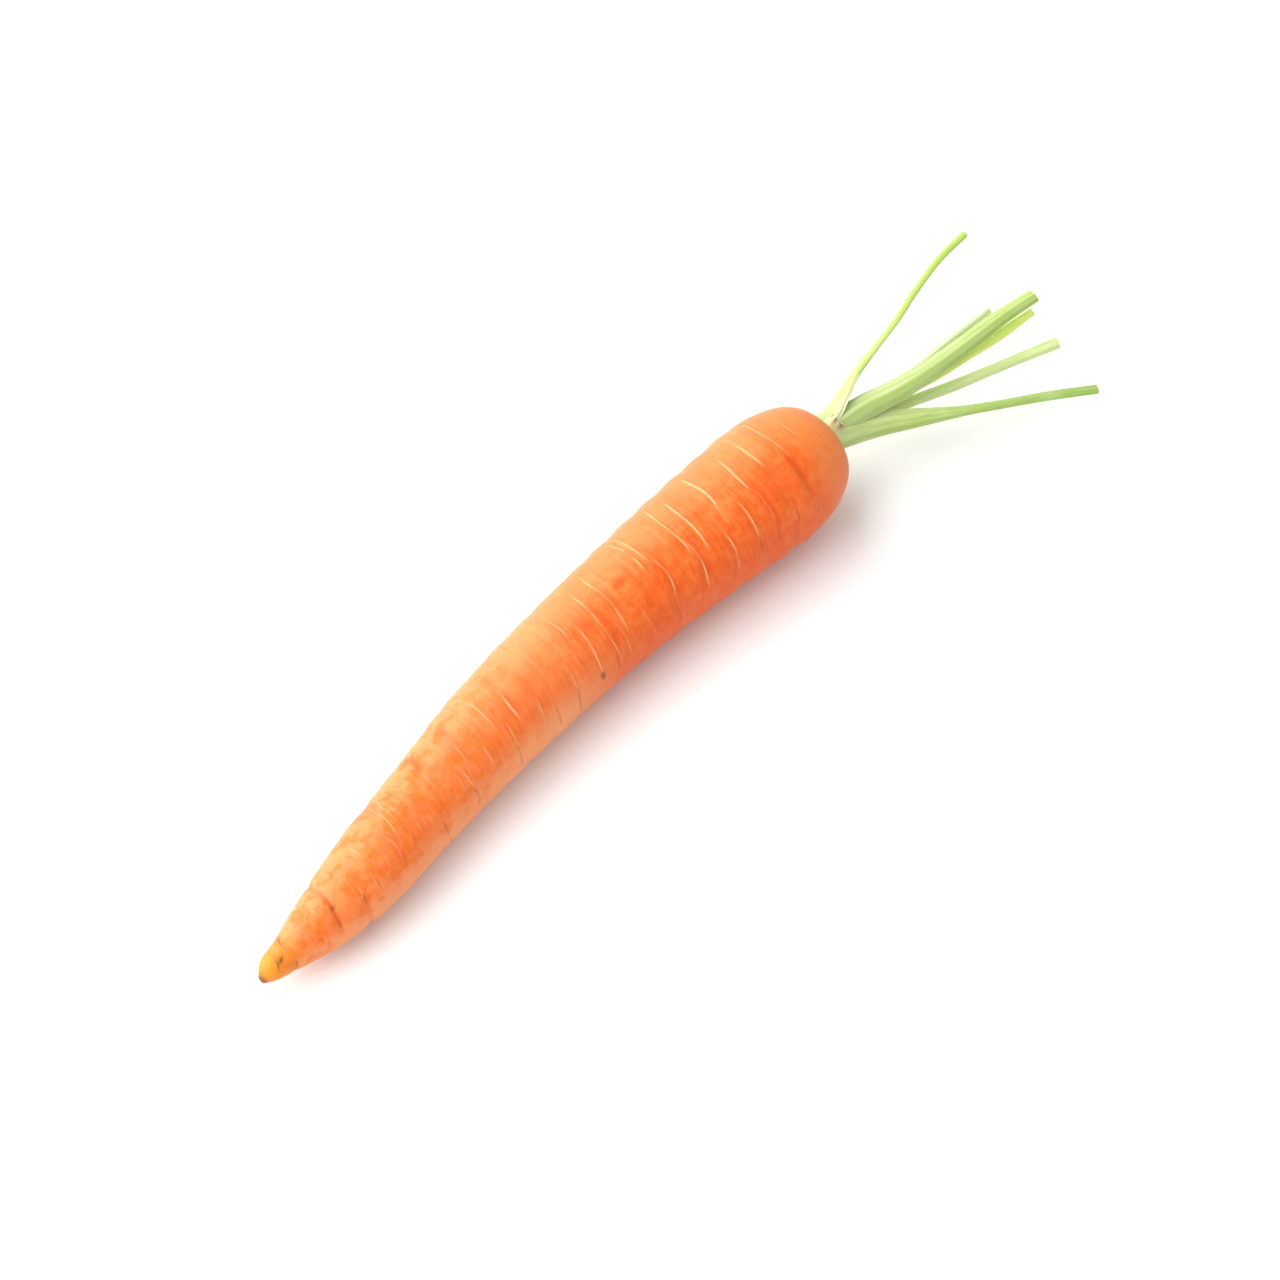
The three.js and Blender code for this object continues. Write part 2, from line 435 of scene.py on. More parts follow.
@dataclass(frozen=True)
class RootSkin:
    """The skin of the root: mottled orange with pale cork lines and brown stains, softly glossy, with
    painted light on the +Y side and painted shade on the thick end's -Y flank.
    """

    deep: str = "E65A12"
    plain: str = "EC681C"
    light: str = "F07E38"
    # pale: painted light on the +Y side that faces the key light, and the paler thin end whose -Y flank
    # gets painted reflected light
    pale: str = "F3A66E"
    amber: str = "EA6C06"
    tip: str = "E4901E"
    cork: str = "F6C48A"
    stain: str = "6E4526"
    furrow: str = "DC4A0C"
    # furrow: the deeper orange of the furrows, also laid as painted shade on the thick end's -Y flank
    # and beside each cork line
    shoulder: str = "F08E4A"
    cork_width: float = 0.36  # half the width of a cork line, in millimetres
    stain_width: float = 0.42  # the same for a stain

    def material(self) -> bpy.types.Material:
        """Makes the skin's material."""
        box = Paintbox("carrot_root_skin")
        grain = box.kept("grain", vector=True)
        patchy = box.clouds(box.place(), 400, 4, 0.65)
        streaks = box.clouds(box.stretched(grain, (190, 190, 1150)), 1, 4, 0.6)
        fine = box.clouds(box.stretched(grain, (500, 500, 3000)), 1, 3, 0.6)
        cork = box.thin_line("cork", self.cork_width)
        dull = box.fitted(patchy, 0.3, 0.7, 0.4, 0.54)
        box.settle(
            base_color=self._marked(box, self._mottled(box, patchy, streaks), grain, cork),
            roughness=box.sum("ADD", dull, box.sum("MULTIPLY", cork, 0.2)),
            specular_ior_level=0.26,
            subsurface_weight=0.15,
            subsurface_radius=(1.0, 0.3, 0.08),
            subsurface_scale=0.002,
            coat_weight=0.06,
            coat_roughness=0.35,
            sheen_weight=0.04,
            sheen_roughness=0.4,
            sheen_tint=paint("FFE0C0"),
        )
        box.emboss(
            [(cork, 0.5, 0.0001), (streaks, 0.4, 0.0005), (fine, 0.35, 0.0002), (patchy, 0.25, 0.0004)]
        )
        return box.material

    def _mottled(self, box: Paintbox, patchy: Socket, streaks: Socket) -> Socket:
        """Colours the bare skin.

        Args:
            box: where the nodes go.
            patchy: small clouds.
            streaks: clouds drawn out round the root.

        Returns:
            The mottled colour, with the broad tints over it.
        """
        place = box.place()
        mottle = box.blend(0.55, box.clouds(place, 75, 3, 0.5), patchy)
        colour = box.ramp(mottle, [(0.38, self.deep), (0.5, self.plain), (0.63, self.light)])
        colour = box.tint(colour, box.fitted(streaks, 0.52, 0.68, 0, 0.65), self.light)
        # painted light: paler on the +Y side that faces the key light, and on the thin end a paler tone,
        # strongest low on the -Y flank as painted reflected light
        colour = box.tint(colour, box.kept("pale"), self.pale)
        colour = box.tint(colour, box.kept("shoulder"), self.shoulder, 0.55)
        thin_skin = box.fitted(box.clouds(place, 230, 5, 0.68), 0.49, 0.57, 0.12, 1)
        colour = box.tint(colour, box.sum("MULTIPLY", thin_skin, box.kept("amber")), self.amber)
        colour = box.tint(colour, box.kept("smear"), self.deep)
        return box.tint(colour, box.kept("tip"), self.tip)

    def _marked(self, box: Paintbox, colour: Socket, grain: Socket, cork: Socket) -> Socket:
        """Lays furrows, flecks, cork lines, stains and spots over the skin, and painted shade on the
        thick end's -Y flank and beside the cork lines.

        Args:
            box: where the nodes go.
            colour: the bare skin's colour.
            grain: coordinates that follow the root.
            cork: how much of the cork lines covers a point.

        Returns:
            The finished colour.
        """
        # deeper orange in the furrows, and painted shade on the thick end's -Y flank, away from the key
        # light
        colour = box.tint(colour, box.kept("furrow"), self.furrow, 0.7)
        flecks = box.spots(box.stretched(grain, (200, 200, 500)), 1)
        colour = box.tint(colour, box.fitted(flecks, 0.02, 0.12, 0.5, 0), self.deep)
        # painted shade in the furrow on the crown side of each cork line
        beside = box.kept("cork_offset")
        painted_cork_shade = box.fitted(beside, -0.75, -0.15, 0, 0.6)
        painted_cork_shade = box.sum("MULTIPLY", painted_cork_shade, box.fitted(beside, -0.1, 0.05, 1, 0))
        colour = box.tint(colour, box.sum("MULTIPLY", painted_cork_shade, box.kept("cork")), self.furrow)
        colour = box.tint(colour, cork, self.cork, 0.9)
        colour = box.tint(colour, box.thin_line("stain", self.stain_width), self.stain, 0.85)
        return box.tint(colour, box.kept("spot"), self.stain)


@dataclass(frozen=True)
class StalkSkin:
    """The skin of a leaf stalk, from its pale foot to its greener cut end, with lengthwise ribs."""

    name: str
    foot: str
    shaft: str
    end: str
    # shade: the darker green of the fibres, also laid as painted shade between the ribs and on the flank
    # towards -Y
    shade: str
    valley: float = 0.5  # how much of the shade shows between the ribs
    margin: str = "F1F3D8"
    cut: str = "D9E8A4"
    pith: str = "F3F6D9"
    rust: str = "9A7440"

    def material(self) -> bpy.types.Material:
        """Makes the stalk's material."""
        box = Paintbox(f"carrot_{self.name}")
        grain = box.kept("grain", vector=True)
        along = box.kept("along")
        fibres = box.clouds(box.stretched(grain, (2600, 2600, 30)), 1, 3, 0.6)
        patches = box.clouds(box.stretched(grain, (420, 420, 90)), 1, 3, 0.5)
        colour = box.ramp(along, [(0.06, self.foot), (0.42, self.shaft), (0.95, self.end)])
        colour = box.tint(colour, box.fitted(fibres, 0.42, 0.62, 0, self.valley), self.shade)
        # painted shade between the ribs
        colour = box.tint(colour, box.kept("valley"), self.shade, self.valley)
        # darker green and painted shade on the flank towards -Y, away from the key light
        colour = box.tint(colour, box.kept("dark_flank"), self.shade)
        colour = box.tint(colour, box.fitted(patches, 0.5, 0.72, 0, 0.4), self.foot)
        colour = box.tint(colour, box.kept("margin"), self.margin)
        pith = box.fitted(box.spots(grain, 2600), 0.15, 0.5, 0, 0.5)
        colour = box.blend(box.kept("cut"), colour, box.blend(pith, paint(self.cut), paint(self.pith)))
        colour = box.tint(colour, box.kept("rust"), self.rust)
        box.settle(
            base_color=colour,
            roughness=box.fitted(fibres, 0.3, 0.7, 0.38, 0.55),
            specular_ior_level=0.4,
            subsurface_weight=0.3,
            subsurface_radius=(0.5, 1.0, 0.25),
            subsurface_scale=0.0012,
        )
        box.emboss([(fibres, 0.4, 0.00015), (patches, 0.2, 0.0003)])
        return box.material


@dataclass(frozen=True)
class CrownTissue:
    """The pale tissue of the crown, browned where old leaves came off."""

    pale: str = "D5DFA6"
    green: str = "A9BF74"
    scar: str = "9B7A48"

    def material(self) -> bpy.types.Material:
        """Makes the crown's material."""
        box = Paintbox("carrot_crown")
        place = box.place()
        patches = box.clouds(place, 500, 4, 0.6)
        colour = box.blend(box.fitted(patches, 0.4, 0.6), paint(self.pale), paint(self.green))
        scars = box.clouds(box.stretched(place, (1500, 400, 400)), 1, 4, 0.6)
        colour = box.tint(colour, box.fitted(scars, 0.55, 0.65, 0, 0.8), self.scar)
        box.settle(
            base_color=colour,
            roughness=box.fitted(patches, 0.3, 0.7, 0.5, 0.7),
            subsurface_weight=0.2,
            subsurface_radius=(0.6, 1.0, 0.3),
            subsurface_scale=0.001,
        )
        box.emboss([(patches, 0.5, 0.0004)])
        return box.material


@dataclass(frozen=True)
class TableTop:
    """A plain matt white table."""

    tint: str = "F7F7F7"
    shade: str = "F2F2F2"

    def material(self) -> bpy.types.Material:
        """Makes the table's material."""
        box = Paintbox("plain_table")
        soft = box.clouds(box.place(), 4, 2, 0.5)
        colour = box.blend(box.fitted(soft, 0.3, 0.7), paint(self.tint), paint(self.shade))
        dull = box.fitted(soft, 0.3, 0.7, 0.75, 0.85)
        box.settle(base_color=colour, roughness=dull, specular_ior_level=0.2)
        box.emboss([(box.clouds(box.place(), 900, 2, 0.5), 0.05, 0.0001)])
        return box.material


# ---- The root -----------------------------------------------------------------------------------


class Mark(Enum):
    """What a mark across the root looks like."""

    CORK = "a thin pale line, slightly raised, in a shallow furrow"
    STAIN = "a thin brown-grey line"
    FURROW = "a bare furrow of deeper orange"
    SPOT = "a small dark brown spot"


@dataclass(frozen=True)
class RingMark:
    """A mark that runs part of the way round the root."""

    distance: float  # millimetres from the seat of the crown, measured on top of the root
    start: float  # degrees round from the top of the root, towards -Y
    end: float
    kind: Mark
    strength: float
    width: float = 1.0  # of a furrow, against the usual width

    def span(self, degrees: np.ndarray) -> np.ndarray:
        """How strong the mark is at turns round the root, fading away at its ends."""
        centre = (self.start + self.end) / 2
        angle = centre + (degrees - centre + 180) % 360 - 180
        ends = min(9.0, (self.end - self.start) / 2.5)
        return between(angle, self.start + ends, self.end - ends, 2 * ends) * self.strength


CORK, STAIN, FURROW, SPOT = Mark.CORK, Mark.STAIN, Mark.FURROW, Mark.SPOT

# Placed one by one: first the marks from the shoulder to the tip, then the deep creases of the outline.
# A mark's place in the list picks its random wobble, so a new one goes at the end.
PLACED_MARKS = [
    RingMark(12.0, -22, 12, CORK, 0.55),
    RingMark(18.0, -38, 12, CORK, 0.9),
    RingMark(17.8, 15, 62, FURROW, 0.8),
    RingMark(24.3, -40, -28, CORK, 0.5),
    RingMark(24.5, -20, 8, CORK, 0.9),
    RingMark(23.8, 10, 60, FURROW, 0.6),
    RingMark(24.2, 60, 76, STAIN, 0.6),
    RingMark(24.8, 70, 130, FURROW, 1.0),
    RingMark(30.8, -20, 18, CORK, 0.8),
    RingMark(29.4, 18, 70, FURROW, 0.8),
    RingMark(30.0, 30, 52, CORK, 0.5),
    RingMark(29.9, 62, 78, STAIN, 0.45),
    RingMark(36.6, -16, 16, CORK, 0.4),
    RingMark(35.7, 28, 56, CORK, 0.75),
    RingMark(36.0, 60, 80, STAIN, 0.4),
    RingMark(40.0, -38, 30, CORK, 1.0),
    RingMark(43.0, 26, 76, CORK, 0.75),
    RingMark(48.1, -30, 36, CORK, 1.0),
    RingMark(52.6, -36, 30, CORK, 0.9),
    RingMark(52.0, 26, 68, CORK, 0.85),
    RingMark(50.8, 18, 62, FURROW, 0.6),
    RingMark(62.4, -38, 6, CORK, 0.8),
    RingMark(64.5, -36, 14, CORK, 0.8),
    RingMark(60.9, 18, 60, CORK, 0.9),
    RingMark(60.0, 20, 62, FURROW, 0.6),
    RingMark(61.8, 62, 88, STAIN, 0.4),
    RingMark(66.8, -14, 8, CORK, 0.3),
    RingMark(70.2, 44, 78, CORK, 0.35),
    RingMark(76.3, -32, 46, CORK, 0.8),
    RingMark(75.4, 4, 34, FURROW, 0.6),
    RingMark(78.0, 40, 76, CORK, 0.35),
    RingMark(81.6, -18, 60, CORK, 0.75),
    RingMark(80.6, 10, 58, FURROW, 0.6),
    RingMark(81.6, 62, 88, STAIN, 0.5),
    RingMark(86.8, 18, 68, CORK, 0.8),
    RingMark(87.0, 70, 78, SPOT, 1.0),
    RingMark(86.8, 80, 100, STAIN, 0.35),
    RingMark(90.2, -20, 24, CORK, 0.5),
    RingMark(89.6, -14, 0, STAIN, 0.3),
    RingMark(94.8, 38, 62, CORK, 0.75),
    RingMark(95.0, 62, 98, STAIN, 0.6),
    RingMark(102.0, 58, 90, STAIN, 0.5),
    RingMark(106.4, 42, 64, CORK, 0.6),
    RingMark(111.6, -30, 2, FURROW, 0.6),
    RingMark(112.2, 8, 36, CORK, 0.9),
    RingMark(111.2, 8, 34, FURROW, 0.7),
    RingMark(118.9, -34, 26, CORK, 0.5),
    RingMark(115.8, 38, 60, CORK, 0.45),
    RingMark(115.9, 60, 92, STAIN, 0.45),
    RingMark(123.6, 30, 56, CORK, 0.55),
    RingMark(128.4, -36, 30, FURROW, 0.5),
    RingMark(128.9, 2, 30, CORK, 0.4),
    RingMark(130.8, 34, 60, CORK, 0.6),
    RingMark(131.1, 58, 86, STAIN, 0.5),
    RingMark(133.4, 32, 56, CORK, 0.4),
    RingMark(138.8, -48, -8, FURROW, 0.9),
    RingMark(141.8, 60, 102, STAIN, 0.5),
    RingMark(144.6, 30, 52, CORK, 0.35),
    RingMark(151.5, -44, 6, CORK, 0.4),
    RingMark(153.4, -42, 18, CORK, 0.5),
    RingMark(151.2, -30, -16, STAIN, 0.35),
    RingMark(154.9, -36, -14, STAIN, 0.35),
    RingMark(156.0, 14, 54, CORK, 0.5),
    RingMark(155.4, 16, 56, FURROW, 0.6),
    RingMark(163.9, -36, -22, STAIN, 0.8),
    RingMark(163.8, -20, -2, CORK, 0.6),
    RingMark(164.2, 40, 52, STAIN, 0.6),
    RingMark(168.6, 32, 44, CORK, 0.5),
    RingMark(168.8, 42, 56, STAIN, 0.8),
    RingMark(172.5, -40, -10, CORK, 0.3),
    RingMark(176.2, 0, 62, STAIN, 0.65),
    RingMark(176.2, 20, 26, SPOT, 0.8),
    RingMark(176.4, -100, 70, FURROW, 3.2, 0.6),
    RingMark(190.0, -60, 6, STAIN, 0.9),
    RingMark(188.8, 62, 96, STAIN, 0.9),
    RingMark(191.6, 20, 36, SPOT, 0.9),
    RingMark(193.3, 14, 62, STAIN, 0.9),
    RingMark(168.6, 56, 150, FURROW, 2.6, 0.6),
    RingMark(189.5, 60, 140, FURROW, 2.2, 0.6),
    RingMark(190.5, -100, -30, FURROW, 1.6, 0.7),
    RingMark(153.0, -100, -20, FURROW, 1.6, 1.4),
]


@dataclass(frozen=True)
class Patch:
    """A soft-edged patch of skin of another orange."""

    distance: float  # millimetres from the seat of the crown
    turn: float  # degrees round from the top of the root, towards -Y
    length: float  # millimetres along the root
    breadth: float  # millimetres round the root
    strength: float


AMBER_PATCHES = [
    Patch(108, 4, 5, 5, 0.5),
    Patch(128, 6, 5, 5, 0.7),
    Patch(139, 14, 6, 6, 0.8),
    Patch(150, 10, 5, 6, 0.9),
    Patch(162, 10, 4, 5, 0.8),
    Patch(169, 12, 4, 6, 0.8),
    Patch(172, 44, 4, 4, 0.8),
    Patch(184, 28, 7, 6, 1.0),
]
SMEAR = Patch(71, 8, 1.9, 1.0, 1.0)  # a small patch of deeper orange


@dataclass(frozen=True)
class SkinPlaces:
    """Where each vertex of the root is, against the root's own middle line."""

    from_tip: np.ndarray  # metres along X
    turn: np.ndarray  # radians round from the top, towards -Y
    radius: np.ndarray  # metres out from the middle line
    distance: np.ndarray  # metres from the seat, as on top of the root
    degrees: np.ndarray  # the turn in degrees

    def cover(self, patch: Patch) -> np.ndarray:
        """How much of a patch covers each vertex, from 0 to 1."""
        along = (self.distance - patch.distance * MM) / (patch.length * MM)
        around = np.radians(self.degrees - patch.turn) * self.radius / (patch.breadth * MM)
        return patch.strength * np.exp(-0.5 * (along**2 + around**2) ** 1.5)


class ThinLines:
    """The thin lines of one kind, kept for each vertex as the line that is nearest to it."""

    def __init__(self, count: int) -> None:
        """Starts with no line near any vertex.

        Args:
            count: how many vertices there are.
        """
        self.nearest = np.full(count, 1.0)
        self.offset = np.zeros(count)
        self.strength = np.zeros(count)

    def add(self, line: np.ndarray, span: np.ndarray, broken: np.ndarray) -> None:
        """Adds a line where it is nearer than the ones before it.

        Args:
            line: how far each vertex is from the line, in metres, with a sign for the side.
            span: how strong the line is, which fades away at its ends.
            broken: what the strength is multiplied by, so that the line comes and goes.
        """
        closer = (np.abs(line) < self.nearest) & (span > FAINTEST_LINE)
        self.nearest[closer] = np.abs(line)[closer]
        self.offset[closer] = line[closer]
        self.strength[closer] = (span * broken)[closer]

    def keep(self, root: bpy.types.Object, name: str, reach: float) -> None:
        """Stores the lines for the material.

        Args:
            root: the piece they are on.
            name: what the material calls them.
            reach: how far from a line its offset still counts, in metres.
        """
        window = np.clip((reach - self.nearest) / (0.2 * MM), 0, 1)
        store(root, name, self.strength * window)
        store(root, f"{name}_offset", np.clip(self.offset / MM, -1, 1))


@dataclass
class Taproot:
    """The root, with its shoulder, its wrinkles and its marks."""

    skin: RootSkin = field(default_factory=RootSkin)
    sides: int = 28
    rings: int = 195
    smoothing: int = 2
    tilt: float = 1.3 * MM  # how far a mark at the side lies from the same mark on top
    furrow_width: float = 1.1 * MM
    furrow_depth: float = 0.24 * MM
    lump: float = 0.22 * MM
    line_reach: float = 0.8 * MM  # how far from a thin line its offset still counts
    least_in_ring: int = 20  # places with fewer CAD vertices than this aren't a ring
    hidden_marks: int = 80
    hidden_side: tuple[float, float, float] = (100, 290, 318)  # first and last start, and last end

    def __post_init__(self) -> None:
        """Measures the CAD root: its outline and the line through its middle."""
        points = points_of(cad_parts["taproot"])
        places = np.round(points[:, 0], 5)
        stations = []
        for place in np.unique(places):
            ring = points[places == place]
            radius = np.ptp(ring[:, 1]) / 2
            if len(np.unique(np.round(ring, 6), axis=0)) >= self.least_in_ring and radius > 0:
                middle = (ring[:, 1].max() + ring[:, 1].min()) / 2
                stations.append((place, radius, middle, ring[:, 2].max() - radius))
        low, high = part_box("taproot")
        self.tip, self.seat = low.x, high.x
        table = np.array(stations)
        rims = table[:, 0] < self.seat - 0.5 * MM
        rims |= table[:, 0] > self.seat - 0.01 * MM
        self.stations = table[rims]

    def middle_at(self, along: np.ndarray) -> tuple[np.ndarray, np.ndarray]:
        """Where the root's middle line is, sideways and up, at places along X."""
        table = self.stations
        return np.interp(along, table[:, 0], table[:, 2]), np.interp(along, table[:, 0], table[:, 3])

    def outline(self) -> np.ndarray:
        """The outline at even steps: rows of place along X, radius, and middle sideways and up."""
        table = self.stations
        controls = np.c_[table[:, 0], table[:, 1], np.zeros(len(table)), table[:, 2:]]
        dense = through_points(controls, np.linspace(0, 1, 3000))
        steps = np.linalg.norm(np.diff(dense[:, :2], axis=0), axis=1)
        travelled = np.r_[0, np.cumsum(steps)]
        wanted = np.linspace(0, travelled[-1], self.rings)
        return np.c_[[np.interp(wanted, travelled, dense[:, column]) for column in (0, 1, 3, 4)]].T

    def raise_rings(self) -> bpy.types.Object:
        """Extrudes the root ring by ring from its tip to its seat and smooths it.

        Returns:
            The root as a closed mesh.
        """
        fuller = 3 / (2 + math.cos(math.tau / self.sides))  # the subdivision draws a ring in by this
        rows = self.outline()
        _, radius, sideways, up = rows[-1]
        floor = [
            (self.seat - 0.3 * MM, 0.9 * radius, sideways, up),
            (self.seat - 0.9 * MM, 0.75 * radius, sideways, up),
        ]
        rows = np.vstack([rows, floor])
        rows[:, 1] *= fuller
        root = raise_by_rings("taproot_skin", self.sides, rows)
        apply_subdivision(root, self.smoothing)
        return root

    def marks(self) -> list[RingMark]:
        """The listed marks, and more of the same kind on the side away from them."""
        draw = random.Random(7)
        found = list(PLACED_MARKS)
        reach = (self.seat - self.tip) / MM
        first, last, edge = self.hidden_side
        for _ in range(self.hidden_marks):
            start = draw.uniform(first, last)
            kind = draw.choices([CORK, STAIN, FURROW], [5, 2, 2])[0]
            end = min(start + draw.uniform(18, 75), edge)
            distance = draw.uniform(10, reach - 6)
            found.append(RingMark(distance, start, end, kind, draw.uniform(0.35, 0.9)))
        return found

    def measure(self, root: bpy.types.Object) -> SkinPlaces:
        """Measures where each vertex of the smooth root is."""
        points = points_of(root)
        sideways, up = self.middle_at(points[:, 0])
        turn = np.arctan2(-(points[:, 1] - sideways), points[:, 2] - up)
        radius = np.hypot(points[:, 1] - sideways, points[:, 2] - up)
        distance = self.seat - points[:, 0] - self.tilt * np.sin(turn)
        return SkinPlaces(points[:, 0] - self.tip, turn, radius, distance, np.degrees(turn))

    def wrinkle(self, root: bpy.types.Object) -> None:
        """Sinks and raises the marks into the skin and keeps where they are for the material."""
        skin = self.measure(root)
        count = len(skin.turn)
        body = np.clip(skin.radius / (12 * MM), 0.3, 1.15)  # marks are shallower on the thin end
        deepest = body * self.furrow_depth
        lines = {CORK: ThinLines(count), STAIN: ThinLines(count)}
        heights, furrows, spots = np.zeros(count), np.zeros(count), np.zeros(count)
        for order, mark in enumerate(self.marks()):
            line = skin.distance - mark.distance * MM - 0.25 * MM * wobble(skin.turn, 7, order)
            span = mark.span(skin.degrees)
            if mark.kind in lines:
                broken = np.clip(0.85 + 0.35 * wobble(skin.turn, 14, 900 + order), 0.3, 1)
                lines[mark.kind].add(line, span, broken)
                depth = 0.45 if mark.kind is CORK else 0.6
                heights -= depth * span * deepest * bell(line + 0.5 * MM, self.furrow_width)
            elif mark.kind is FURROW:
                width = mark.width * self.furrow_width
                heights -= span * deepest * bell(line, width)
                colour = 0.5 if mark.strength > 1 else 0.95
                tinted = colour * np.minimum(span, 1) * bell(line, 0.7 * width)
                furrows = np.maximum(furrows, tinted)
            else:
                spot = span * bell(line, 0.45 * MM)
                heights -= spot * 0.25 * MM
                spots = np.maximum(spots, spot)

        shoulder = between(skin.distance, -2 * MM, 9 * MM, 9 * MM)
        lumps = self._lumps(skin.turn, skin.distance)
        heights += body * self.lump * lumps * (1 - 0.6 * shoulder)
        apply_relief(root, "wrinkle", heights)
        lines[CORK].keep(root, "cork", self.line_reach)
        lines[STAIN].keep(root, "stain", self.line_reach)
        store(root, "shoulder", shoulder)
        self.keep_tints(root, skin, furrows, spots)

    def keep_tints(
        self, root: bpy.types.Object, skin: SkinPlaces, furrows: np.ndarray, spots: np.ndarray
    ) -> None:
        """Keeps the broad changes of colour for the material, painted light and painted shade among
        them.

        Args:
            root: the piece that takes the attributes.
            skin: where its vertices are.
            furrows: how much of a furrow's colour each vertex has.
            spots: how much of a spot's colour each vertex has.
        """
        painted_lit_side = between(skin.degrees, -105, -25, 45)
        slender = between(skin.from_tip, 12 * MM, 95 * MM, 30 * MM)
        flank = between(skin.degrees, 80, 160, 35)
        # painted shade on the -Y flank of the thick end, away from the key light, kept together with the
        # furrows
        painted_flank_shade = 0.45 * flank * (1 - slender)
        store(root, "furrow", np.clip(np.maximum(furrows, painted_flank_shade), 0, 1))
        # painted light on the +Y side that faces the key light; on the thin end a paler tone, strongest
        # low on the -Y flank as painted reflected light
        store(root, "pale", np.clip(0.4 * painted_lit_side + slender * (0.2 + 0.45 * flank), 0, 1))
        stub = 0.9 * bell(skin.from_tip, 0.55 * MM)
        store(root, "spot", np.clip(np.maximum(spots, stub), 0, 1))
        store(root, "tip", 0.85 * np.clip(1.3 - skin.from_tip / (9 * MM), 0, 1))
        amber = between(skin.from_tip, 0, 60 * MM, 50 * MM) * between(skin.degrees, -45, 60, 35)
        store(root, "amber", np.max([0.75 * amber] + [skin.cover(patch) for patch in AMBER_PATCHES], 0))
        store(root, "smear", skin.cover(SMEAR))
        section = (skin.radius * np.cos(skin.turn), skin.radius * np.sin(skin.turn))
        store(root, "grain", np.column_stack([*section, skin.distance]))

    def _lumps(self, turn: np.ndarray, distance: np.ndarray) -> np.ndarray:
        """Low swellings and shallow wrinkles round the root, from about -1 to 1."""
        length = self.seat - self.tip
        phase = math.tau * distance / length
        broad = wobble(phase + 0.05 * np.sin(turn), 26, 31)
        lopsided = wobble(phase, 17, 57) * np.sin(turn + 1.3 + wobble(phase, 5, 73))
        ripple = wobble(phase + 0.01 * np.sin(2 * turn), 110, 91) * (0.6 + 0.4 * np.cos(turn - 1))
        return 0.3 * broad + 0.3 * lopsided + 0.12 * ripple

    def settle(self, root: bpy.types.Object) -> None:
        """Cuts the underside flat where the root rests on the table."""
        pick(root)
        bpy.ops.object.mode_set(mode="EDIT")
        bpy.ops.mesh.select_all(action="SELECT")
        bpy.ops.mesh.bisect(
            plane_co=(0, 0, 0), plane_no=(0, 0, 1), clear_inner=True, use_fill=True, threshold=1e-6
        )
        deselect_everything()

    def build(self) -> bpy.types.Object:
        """Makes the root."""
        root = self.raise_rings()
        self.wrinkle(root)
        self.settle(root)
        pick(root)
        bpy.ops.object.shade_smooth()
        root.data.materials.append(self.skin.material())
        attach(root, "root")
        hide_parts("taproot")
        return root


# ---- The crown and the leaf stalks --------------------------------------------------------------


@dataclass
class Crown:
    """The short stem in the seat, which the leaf stalks clasp."""

    tissue: CrownTissue = field(default_factory=CrownTissue)
    sides: int = 24
    smoothing: int = 2
    scar_depth: float = 0.12 * MM
    profile: tuple[tuple[float, float], ...] = (  # shares of the height and of the radius
        (0, 0.9),
        (0.08, 0.98),
        (0.25, 0.96),
        (0.5, 0.8),
        (0.75, 0.58),
        (0.93, 0.33),
        (1, 0.1),
    )

    def __post_init__(self) -> None:
        """Takes the seat's place and the crown's size from the CAD node."""
        low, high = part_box("crown")
        self.foot, self.top = low.x, high.x
        self.middle = Vector((0, (low.y + high.y) / 2, (low.z + high.z) / 2))
        self.radius = (high.y - low.y) / 2

    def build(self) -> bpy.types.Object:
        """Makes the crown."""
        height = self.top - self.foot
        rows = [
            (self.foot + share * height, width * self.radius, self.middle.y, self.middle.z)
            for share, width in self.profile
        ]
        crown = raise_by_rings("crown_stem", self.sides, np.array(rows))
        apply_subdivision(crown, self.smoothing)
        points = points_of(crown)
        turn = np.arctan2(points[:, 1] - self.middle.y, points[:, 2] - self.middle.z)
        scars = wobble(turn, 12, 5) * wobble(points[:, 0] / MM, 4, 6)
        apply_relief(crown, "scars", self.scar_depth * scars)
        pick(crown)
        bpy.ops.object.shade_smooth()
        crown.data.materials.append(self.tissue.material())
        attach(crown, "root")
        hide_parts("crown")
        return crown


REACH = 65 * MM  # from the seat to the end of the longest stalk
SHEATH_WIDTH = 8.6 * MM  # across the widest sheathing foot
STALK_THICKNESS = 2.3 * MM
CURL = 0.45  # how far a foot's margins turn in, as a share of what it is wider than thick


